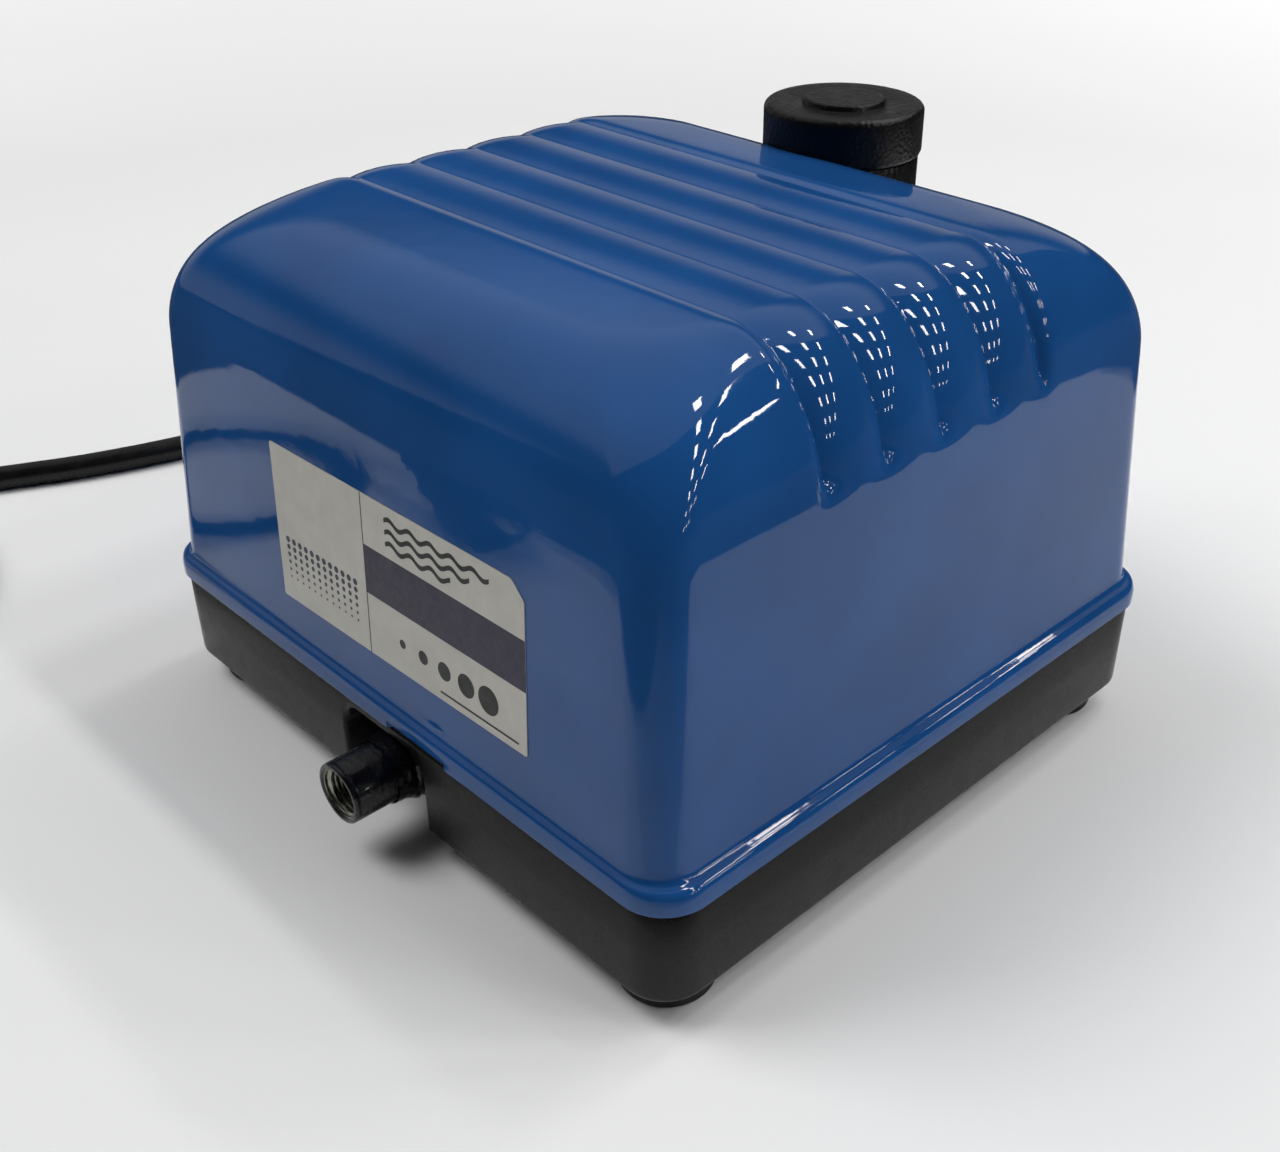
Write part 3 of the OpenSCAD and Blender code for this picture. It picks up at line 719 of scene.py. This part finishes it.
def tower_zone(hy, radius):
    """The rear from right to left round the filter tower and the fillets beside it."""
    x, y = FILTER
    rise = hy + FILLET - y
    reach = math.sqrt((radius + FILLET) ** 2 - rise * rise)
    tip = math.degrees(math.atan2(rise, reach))
    return (arc((x + reach, hy + FILLET), FILLET, 270, 180 + tip, FILLET_STEPS)[:-1]
            + arc(FILTER, radius, tip, 180 - tip, TOWER_STEPS)
            + arc((x - reach, hy + FILLET), FILLET, -tip, -90, FILLET_STEPS)[1:])


ZONE_X = [x for x, y in tower_zone(84.2, TOWER_R)]     # spaced as at the top of the tower


def liner_zone(hy, radius):
    """The rear of the inner skin, hollowed round the filter's pocket."""
    rear = []
    for x in ZONE_X:
        off = abs(x - FILTER[0])
        clear = FILTER[1] - math.sqrt(radius * radius - off * off) if off < radius else hy
        rear.append((x, min(hy, clear)))
    return rear


def front_zone_x():
    """Places along the front, right to left, with close ones at the recess's ends."""
    special = [x + d for x in RECESS for d in (-0.35, -0.1, 0.15, 0.4)]
    even = ZONE_COUNT - len(special)
    evenly = [FRONT_ZONE - 2 * FRONT_ZONE * i / (even - 1) for i in range(even)]
    return sorted(evenly + special, reverse=True)


FRONT_X = front_zone_x()


def recess_depth(x, depth):
    """The dent's depth at this x, with soft ends."""
    start, end = RECESS
    return depth * ease(0, 1, start - 0.35, start + 0.4, x) * ease(1, 0, end - 0.4, end + 0.35, x)


def side_path(hx, hy, r, zone):
    """From the right end's last point to the left end's first, without either."""
    corner = corner_path(hx, hy, r)
    left = [(-x, y) for x, y in reversed(corner)]
    return (corner[1:] + between(corner[-1], zone[0], RUN_STEPS) + zone
            + between(zone[-1], left[0], RUN_STEPS) + left[:-1])


def outline(hx, hy, r, rear_zone=None, recess=0.0):
    """A level's outline, anticlockwise from the right end, with as many points as any other level's."""
    right = [(side_x(hx, hy, r, y), y) for y in ROWS]
    left = [(-x, y) for x, y in reversed(right)]
    rear = side_path(hx, hy, r, rear_zone or [(x, hy) for x in ZONE_X])
    front_zone = [(x, hy - recess_depth(x, recess)) for x in FRONT_X]
    front = [(x, -y) for x, y in reversed(side_path(hx, hy, r, front_zone))]
    return right + rear + left + front


def blend_to(a, b, s):
    """The share s of the way from a to b."""
    return tuple(p + (q - p) * s for p, q in zip(a, b))


def wall_level(z, thick=0.0):
    """The wall's half sizes and corner radius at this height, this far inside the outer skin."""
    inset = DRAFT * (z - COVER_Z) + thick
    return WALL[0] - inset, WALL[1] - inset, WALL[2] - thick


def shoulder_level(rise, thick=0.0):
    """The same at this angle of the shoulder, and the height there."""
    start_z = SHOULDER_Z + SHOULDER_H * math.sin(SHOULDER_START)
    turn = math.cos(SHOULDER_START) - math.cos(rise)
    inset = DRAFT * (start_z - COVER_Z) + SHOULDER_IN * turn + thick
    r = WALL[2] + (CROWN_CORNER - WALL[2]) * turn - thick * (1 - turn)
    drop = (thick + RIB_DEPTH) if thick else 0.0
    return WALL[0] - inset, WALL[1] - inset, r, SHOULDER_Z + (SHOULDER_H - drop) * math.sin(rise)


def creased(ring, rise):
    """A shoulder ring, domed, with the ends sunk into the creases square to the shoulder."""
    fade = ease(0, 1, SHOULDER_START, SHOULDER_START + RIB_FADE, rise)
    fade *= ease(SHOULDER_RIBS, CROWN_RIBS, math.radians(35), math.pi / 2, rise)
    across = math.cos(rise) / SHOULDER_IN
    up = math.sin(rise) / SHOULDER_H
    length = math.hypot(across, up)
    doming = ease(0, 1, math.radians(25), math.pi / 2, rise)
    sunk = []
    for i, (x, y, z) in enumerate(ring):
        z -= doming * dome_drop(y)
        depth = fade * crease_depth(y) if abs(y) < END_Y and is_end(i) else 0.0
        side = 1 if x > 0 else -1
        sunk.append((x - side * depth * across / length, y, z - depth * up / length))
    return sunk


def is_end(i):
    """Whether this point of an outline is on the left or right end."""
    return i % (len(ROWS) + SIDE_COUNT) < len(ROWS)


# The flange from below: the share of the way out from the wall to the flange's edge, and the height.
FLANGE_PROFILE = [(0.955, 35.4), (0.99, 35.5), (1.0, 35.85), (1.0, 37.5), (1.0, 37.75), (0.998, 38.2),
                  (0.98, 38.9), (0.94, 39.6), (0.87, 40.3), (0.77, 40.85), (0.64, 41.2), (0.48, 41.4),
                  (0.3, 41.5), (0.16, 41.75), (0.06, 42.3), (0.01, 43.1)]


def outer_rings():
    """From the flange's underside up to the crown's edge, outside."""
    rings = []
    for s, z in FLANGE_PROFILE:
        hx, hy, r = blend_to(wall_level(z), FLANGE, s)
        dent = RECESS_DEPTH if z < RECESS_TOP else 0.0
        rings.append(lifted(outline(hx, hy, r, tower_zone(hy, TOWER_R + 0.4 * s), dent), z))
    for z in (44.5, 52, 62, 72, 82, 92, 100, 106):
        hx, hy, r = wall_level(z)
        rings.append(lifted(outline(hx, hy, r, tower_zone(hy, TOWER_R)), z))
    tower_end = math.asin((TOWER_TOP - SHOULDER_Z) / SHOULDER_H)
    angles = [SHOULDER_START] + [math.radians(a) for a in (5.5, 7, 8.5, 10, 12, 14, 16.5, 19, 22, 25)]
    for rise in angles + [tower_end]:
        hx, hy, r, z = shoulder_level(rise)
        rings.append(creased(lifted(outline(hx, hy, r, tower_zone(hy, TOWER_R)), z), rise))
    for rise in [tower_end] + [math.radians(a) for a in range(30, 91, 3)]:
        hx, hy, r, z = shoulder_level(rise)
        rings.append(creased(lifted(outline(hx, hy, r), z), rise))
    return rings


def inner_rings():
    """From the crown down, inside the casting."""
    rings = []
    pocket_floor = TOWER_TOP - 4     # underside of the metal below the filter cup
    hollow_end = math.asin((pocket_floor - SHOULDER_Z) / (SHOULDER_H - SKIN - RIB_DEPTH))
    for z in (COVER_Z, 60, 90):
        hx, hy, r = wall_level(z, SKIN)
        rings.append(lifted(outline(hx, hy, r, tower_zone(hy, TOWER_R - SKIN)), z))
    for rise in (SHOULDER_START, math.radians(14), hollow_end):
        hx, hy, r, z = shoulder_level(rise, SKIN)
        rings.append(lifted(outline(hx, hy, r, tower_zone(hy, TOWER_R - SKIN)), z))
    for rise in [hollow_end] + [math.radians(a) for a in range(32, 91, 8)] + [math.pi / 2]:
        hx, hy, r, z = shoulder_level(rise, SKIN)
        rings.append(lifted(outline(hx, hy, r, liner_zone(hy, LINER_R)), z))
    return list(reversed(rings))


def crown(ring, points, faces, first, ribbed, top):
    """Closes the crown over the outline whose points start at first, in rows from end to end."""
    rows = len(ROWS)
    rear = [ring[i][0] for i in range(rows - 1, rows + SIDE_COUNT + 1)]
    fractions = [x / rear[0] for x in rear]
    total = len(ring)
    grid = []
    for j, y in enumerate(ROWS):
        right = first + j
        left = first + 2 * rows + SIDE_COUNT - 1 - j
        line = [right]
        dip = CROWN_RIBS * crease_depth(y) + dome_drop(y) if ribbed else 0.0
        for f in fractions[1:-1]:
            points.append((f * ring[j][0], y, top - dip))
            line.append(len(points) - 1)
        grid.append(line + [left])
    for low, high in zip(grid, grid[1:]):
        for i in range(len(low) - 1):
            faces.append((low[i], high[i], high[i + 1], low[i + 1]))
    rear_ring = [first + i for i in range(rows - 1, rows + SIDE_COUNT + 1)]
    front_ring = [first + i % total for i in range(2 * rows + SIDE_COUNT - 1, total + 1)]
    for edge, line in ((rear_ring, grid[-1]), (front_ring, list(reversed(grid[0])))):
        for i in range(len(line) - 1):
            quad = [edge[i], edge[i + 1], line[i + 1], line[i]]
            faces.append(tuple(dict.fromkeys(quad)))


def pocket_tool():
    """The round pocket that the filter cup stands in, and the air duct below it."""
    duct, pocket = 9.1, 23.2
    step = TOWER_TOP - 0.05
    profile = [(duct, TOWER_TOP - 9), (duct, step), (pocket, step), (pocket, COVER_TOP + 6)]
    return tool_object(*loft(turned_rings(profile, FILTER, "Z", 128)))


def top_cover():
    """The casting: both skins and the crown, with the filter's pocket cut out."""
    outer = outer_rings()
    inner = inner_rings()
    rings = list(reversed(outer)) + list(reversed(inner))
    points, faces = loft(rings, caps=False)
    crown(outer[-1], points, faces, 0, True, COVER_TOP)
    crown(inner[0], points, faces, (len(rings) - 1) * len(outer[0]), False, inner[0][0][2])
    obj = mesh_object("top_cover_casting", points, faces, [MATERIALS["blue_paint"]])
    mend(obj)
    combine(obj, pocket_tool(), "DIFFERENCE")
    show(obj, "blue_paint", "top_cover")


# ---- Base ----

TRAY_INSET = 1.2                 # the tray's wall stands this far in from the flange
TOWER_FOOT_R = 23.0              # the flange's edge round the tower's foot
NICHE = (17, 31.6, 8.5)          # the opening round the outlet: half width, top, corner radius


def base_level(inset):
    """The tray's outline this far in from the flange."""
    hx, hy, r = (v - inset for v in FLANGE)
    return outline(hx, hy, r, tower_zone(hy, TOWER_FOOT_R - inset))


def niche_tool():
    """The opening round the outlet, with rounded upper corners and a softened front edge."""
    rings = []
    for y, wider in ((-100, 1.3), (-94.7, 1.1), (-94.3, 0.5), (-93.8, 0.15), (-93, 0), (-80, 0)):
        half = NICHE[0] + wider
        top = NICHE[1] + wider * 0.5
        r = NICHE[2]
        shape = (arc((half - r, top - r), r, 0, 90, 8) + arc((r - half, top - r), r, 90, 180, 8)
                 + [(-half, 2), (half, 2)])
        rings.append([(x, y, z) for x, z in shape])
    return tool_object(*loft(rings))


def box_tool(low, high):
    """A block between two opposite corners."""
    ring = plain_box(*low[:2], *high[:2])
    return tool_object(*loft([lifted(ring, low[2]), lifted(ring, high[2])]))


def bore_tool(radius, start, end, at, axis):
    """A round bar from start to end along this axis."""
    return tool_object(*loft(turned_rings([(radius, start), (radius, end)], at, axis)))


def base_tray():
    """The tray, with a block inside it that holds the outlet's niche."""
    i = TRAY_INSET
    profile = [(i + 1.5, TRAY_BOTTOM), (i + 0.85, 8.12), (i + 0.35, 8.45), (i + 0.1, 8.95), (i, 9.6),
               (i, 22), (i, 34.3), (1.45, TRAY_TOP), (4.2, TRAY_TOP), (4.3, 12.2), (5.2, 11.0)]
    points, faces = loft([lifted(base_level(inset), z) for inset, z in profile])
    tray = mesh_object("base_casting", points, faces, [MATERIALS["dark_cast"]])
    mend(tray)
    combine(tray, box_tool((-19.5, -93, 8.6), (19.5, -77, 34.5)), "UNION")
    combine(tray, niche_tool(), "DIFFERENCE")
    combine(tray, bore_tool(8.45, -82, -74, OUTLET, "Y"), "DIFFERENCE")
    combine(tray, bore_tool(6.05, -106, -98, CORD_EXIT, "X"), "DIFFERENCE")
    show(tray, "dark_cast", "base_tray")


def feet():
    """Four rubber feet with a rolled edge and a hollow for the screw's head."""
    profile = ([(6.2, 0.3), (6.6, 0), (10.9, 0)] + arc((10.9, 0.9), 0.9, -90, 0, 5)[1:]
               + [(12.2, 5.6), (12.5, 6.2), (12.5, 7.2), (12.2, 7.8), (11.4, 7.95), (2.3, 7.95), (2.3, 4.5),
                  (6.0, 4.5)])
    for side, x in (("left", -FOOT_AT[0]), ("right", FOOT_AT[0])):
        for end, y in (("front", -FOOT_AT[1]), ("rear", FOOT_AT[1])):
            turned(f"foot_{end}_{side}_moulding", profile, (x, y), "Z", "black_rubber",
                   f"foot_{end}_{side}", closed=True, sides=72)


top_cover()
base_tray()
feet()


# ---- Filter ----

def cup_grip(radius, along, angle):
    """Fine upright flutes on the cup's outside."""
    if radius <= 22 or along <= 127:
        return radius
    return radius - 0.35 * max(0.0, math.cos(60 * angle))


def filter_cup():
    """An open cup with a hollow spigot below and a narrower rim inside the cap."""
    profile = [(8.2, 113), (9.0, 112.6), (9.0, 125.95), (21.6, 126.0), (22.1, 126.5), (22.1, 138.7),
               (21.7, 139.25), (21.3, 139.3), (21.3, 149.6), (20.9, 150), (19.9, 150), (19.5, 149.6),
               (19.5, 129.4), (19.0, 129), (7.4, 129), (7.0, 128.6), (7.0, 113)]
    turned("filter_cup_moulding", profile, FILTER, "Z", "black_plastic", "filter_cup", closed=True,
           sides=360, shape=cup_grip)


def filter_cap():
    """A cap with a rounded edge and a raised disc, hollow below."""
    skirt = [(0.01, 150.2), (20.9, 150.2), (21.35, 149.8), (21.35, 140.2), (21.6, 139.9), (22.2, 139.9),
             (22.55, 140.15), (22.9, 141.0), (22.9, 151.2)]
    disc = [(19.2, 153.47), (12.6, 153.42), (12.2, 153.1), (11.75, 153.05), (11.6, 153.3), (11.5, 154.2),
            (11.25, 154.55), (10.8, 154.7), (10.2, 154.7), (0.01, 154.7)]
    profile = skirt + arc((21.0, 151.5), 1.9, 0, 90, 8) + disc
    turned("filter_cap_moulding", profile, FILTER, "Z", "black_plastic", "filter_cap", sides=144,
           body="filter_cap")


filter_cup()
filter_cap()


# ---- Outlet ----

THREAD_R = 6.6                   # radius at the thread's roots
THREAD_PITCH = 1.337
THREAD_DEPTH = 0.85
BORE_DEPTH = 16
BOOT_ROOT = -80.9                # y where the boot starts to narrow
BOOT_LENGTH = 16.6


def thread_radius(radius, along, angle):
    """A helical V thread with flat crests, which fades in at the mouth and out at its inner end."""
    deep = along - OUTLET_END
    turn = (deep / THREAD_PITCH - angle / (2 * math.pi)) % 1.0
    height = min(1.0, max(0.0, 1.25 * (1 - abs(2 * turn - 1)) - 0.1))
    return radius - THREAD_DEPTH * height * ease(0, 1, 0.8, 2.0, deep) * ease(1, 0, 12.5, 14, deep)


def outlet_tube():
    """A coated pipe with a bare internal thread."""
    sides = 96
    end = OUTLET_END
    step = end + BORE_DEPTH
    outer = [(5.4, -61), (5.5, -61.5), (5.5, -74.5), (8.3, -74.6), (8.4, -75), (8.4, end + 1.9),
             (8.25, end + 1.5), (8.4, end + 1.1), (8.35, end + 0.4), (8.05, end + 0.08), (7.6, end),
             (7.2, end + 0.05), (6.75, end + 0.5)]
    threads = [(THREAD_R, end + 0.6 + 0.11 * i) for i in range(132)]
    inner = [(6.55, step - 0.4), (6.0, step), (3.6, step), (3.5, step + 0.2), (3.5, -61.3), (3.7, -61)]
    rings = (turned_rings(outer, OUTLET, "Y", sides)
             + turned_rings(threads, OUTLET, "Y", sides, thread_radius)
             + turned_rings(inner, OUTLET, "Y", sides))
    points, faces = loft(rings, closed=True)
    metal_from = (len(outer) - 1) * sides
    metal_to = (len(rings) - 1) * sides
    finish = [1 if metal_from <= f[0] < metal_to else 0 for f in faces]
    obj = mesh_object("outlet_pipe", points, faces, [MATERIALS["outlet_metal"], THREAD_METAL], finish)
    mend(obj, sharp=50)
    show(obj, "outlet_metal", "outlet_tube")


def boot_wrinkle(radius, along, angle):
    """Folds, crinkles and faint rings on a slightly flattened flare, weaker towards both ends."""
    if radius < 8.5:
        return radius
    u, v = math.cos(angle), math.sin(angle)
    depth = ease(0.1, 1, -95.5, -90, along) * ease(1, 0.3, -84, -80.5, along)
    fold = noise.noise(Vector((u * 1.6, v * 1.6, along * 0.32)))
    crinkle = noise.noise(Vector((u * 5 + 9, v * 5, along * 0.9)))
    squeeze = 1.0 - 0.13 * abs(v) * ease(0, 1, 9.5, 13.5, radius)
    lift = 0.75 * fold + 0.38 * crinkle + 0.2 * math.sin(along * 2.4)
    return max(8.45, radius * squeeze + depth * lift)


def outlet_boot():
    """A dipped sleeve that widens into the niche. Its narrow end stands slightly off the pipe."""
    steps = 44
    profile = [(8.42, -80.2), (13.6, -80.15), (14.0, -80.6)]
    for i in range(steps + 1):
        t = i / steps
        profile.append((8.95 + 4.9 * (1 - t) ** 1.6, BOOT_ROOT - BOOT_LENGTH * t))
    profile += [(8.7, -95.75), (8.42, -95.7)]
    turned("outlet_sleeve", profile, OUTLET, "Y", "outlet_metal", "outlet_boot", closed=True, sides=144,
           shape=boot_wrinkle)


outlet_tube()
outlet_boot()


# ---- Label ----

LABEL_SIZE = (99.8, 43.5)
LABEL_AT = (8.4, 75.4)           # middle of the label: x and z
LABEL_TURN = math.radians(1.2)   # it was stuck on slightly askew
FILM = 0.22                      # the label's thickness
DIVIDE = 39.6                    # the line between the label's two fields


def label_point(u, v, lift):
    """A point of the label, from its lower left corner, in the plane of the sloping front wall."""
    across = u - LABEL_SIZE[0] / 2
    up = v - LABEL_SIZE[1] / 2
    x = LABEL_AT[0] + across * math.cos(LABEL_TURN) - up * math.sin(LABEL_TURN)
    rise = across * math.sin(LABEL_TURN) + up * math.cos(LABEL_TURN)
    lean = math.atan(DRAFT)
    wall = WALL[1] - DRAFT * (LABEL_AT[1] - COVER_Z)
    return (x, -wall + rise * math.sin(lean) - lift * math.cos(lean),
            LABEL_AT[1] + rise * math.cos(lean) + lift * math.sin(lean))


def wave_band(left, right, middle, waves):
    """A wavy stroke from left to right."""
    steps = 48
    half, swing = 0.625, 0.75
    path = []
    for i in range(steps + 1):
        v = middle + swing * math.sin(2 * math.pi * waves * i / steps)
        path.append((left + (right - left) * i / steps, v))
    return [(u, v - half) for u, v in path] + [(u, v + half) for u, v in reversed(path)]


def violet_shapes():
    """The band, and the rows of dots that shrink downwards."""
    shapes = [plain_box(DIVIDE + 0.2, 16.9, LABEL_SIZE[0], 30.0)]
    for column in range(12):
        for row in range(6):
            shapes.append(arc((4.4 + 2.75 * column, 17.6 - 2.15 * row), 0.9 - 0.11 * row, 0, 345, 23))
    return shapes


def black_shapes():
    """The dividing line, and waves, growing dots and a rule where the photo has lettering."""
    shapes = [plain_box(DIVIDE - 0.17, 0, DIVIDE + 0.17, LABEL_SIZE[1])]
    for k in range(3):
        shapes.append(wave_band(49, 88 - 7 * k, 39.6 - 3.1 * k, 5 - 0.9 * k))
    for k in range(5):
        shapes.append(arc((53.5 + 8.2 * k, 8.4), 1.2 + 0.62 * k, 0, 350, 35))
    return shapes + [rounded_box(68, 1.9, 97, 2.5, 0.28)]


def label_edge():
    """The label's outline, with small round corners and one corner clipped."""
    width, height = LABEL_SIZE
    r = 0.7
    return (arc((r, r), r, 180, 270, 4) + arc((width - r, r), r, -90, 0, 4)
            + [(width, height - 4.2), (width - 0.5, height - 3.4), (width - 4.0, height - 0.3),
               (width - 4.9, height)] + arc((r, height - r), r, 90, 180, 4))


def front_label():
    """The film with its printing, each shape a thin plate."""
    plates = [(label_edge(), -0.03, FILM, 0)]
    plates += [(shape, FILM - 0.01, FILM + 0.02, 1) for shape in violet_shapes()]
    plates += [(shape, FILM - 0.01, FILM + 0.02, 2) for shape in black_shapes()]
    points, faces, finish = [], [], []
    for shape, under, over, ink in plates:
        first = len(points)
        rings = [[label_point(u, v, lift) for u, v in shape] for lift in (under, over)]
        plate_points, plate_faces = loft(rings)
        points += plate_points
        faces += [tuple(first + i for i in face) for face in plate_faces]
        finish += [ink] * len(plate_faces)
    materials = [MATERIALS["label"], VIOLET_INK, BLACK_INK]
    obj = mesh_object("front_label_print", points, faces, materials, finish)
    mend(obj, sharp=30)
    show(obj, "label", "front_label")


front_label()


# ---- Gland, relief, tie and plug ----

def cord_gland():
    """A gland that clips into the tray's hole, its flange inside and its collar outside."""
    profile = ([(4.35, -98), (8.0, -98), (8.0, -100.8), (6.0, -100.8), (6.0, -103.8), (9.2, -103.8),
                (9.5, -104.2), (9.5, -108.6)] + arc((8.1, -108.6), 1.4, 0, -90, 6)[1:] + [(4.35, -110)])
    turned("cord_gland_moulding", profile, CORD_EXIT, "X", "black_rubber", "cord_gland", closed=True)


def strain_relief():
    """A tapering sleeve with flexing ribs."""
    tip, root = RELIEF_TIP, -110
    ribs = 8
    outside = []
    for i in range(ribs):
        for share, sink in ((0.0, 0.0), (0.12, 0.0), (0.55, 0.0), (0.62, 0.75), (0.92, 0.75), (1.0, 0.0)):
            t = (i + share) / ribs
            outside.append((7.5 - 2.6 * t - sink, root + (tip - root) * t))
    profile = [(4.3, root + 0.2)] + outside + [(4.6, tip - 0.02), (4.3, tip)]
    turned("strain_relief_moulding", profile, CORD_EXIT, "X", "black_rubber", "strain_relief",
           closed=True)


def cord_tie():
    """A rubber tie round the coil's turns."""
    middle = (COIL_AT[0], COIL_AT[1] + COIL_R, 9.55)
    half_y, half_z, r = 9.0, 9.1, 4.6
    loop = rounded_box(-half_y, -half_z, half_y, half_z, r, 8)
    section = [(-4, 0.15), (-3.7, 0.4), (3.7, 0.4), (4, 0.15),
               (4, -0.15), (3.7, -0.4), (-3.7, -0.4), (-4, -0.15)]
    rings = []
    for x, thick in section:
        wide = 1 + thick / half_y
        tall = 1 + thick / half_z
        rings.append([(middle[0] + x, middle[1] + y * wide, middle[2] + z * tall) for y, z in loop])
    return lofted("coil_tie_strap", rings, "black_rubber", "cord_tie", closed=True)


def plug_flutes(radius, along, angle):
    """Grooves round the plug's waist."""
    if radius <= 12:
        return radius
    depth = 0.5 * ease(0, 1, -149, -144, along) * ease(1, 0, -134, -130, along)
    return radius - depth * (0.5 + 0.5 * math.cos(24 * angle))


def plug_body():
    """A round two-pin plug with a fluted grip."""
    profile = ([(4.35, -170), (5.0, -170), (5.3, -169.6), (6.4, -160), (8.0, -152.4), (9.6, -150.8),
                (12.0, -149.2), (13.6, -144), (16.2, -136.4), (17.6, -131.6), (18.5, -129.2),
                (18.5, -113.4)]
               + arc((17.1, -113.4), 1.4, 0, 90, 6)[1:] + [(0.01, -112)])
    return turned("plug_moulding", profile, PLUG_AT, "X", "black_rubber", "plug_body", sides=240,
                  shape=plug_flutes)


cord_gland()
strain_relief()
power_cord(cord_tie(), plug_body())
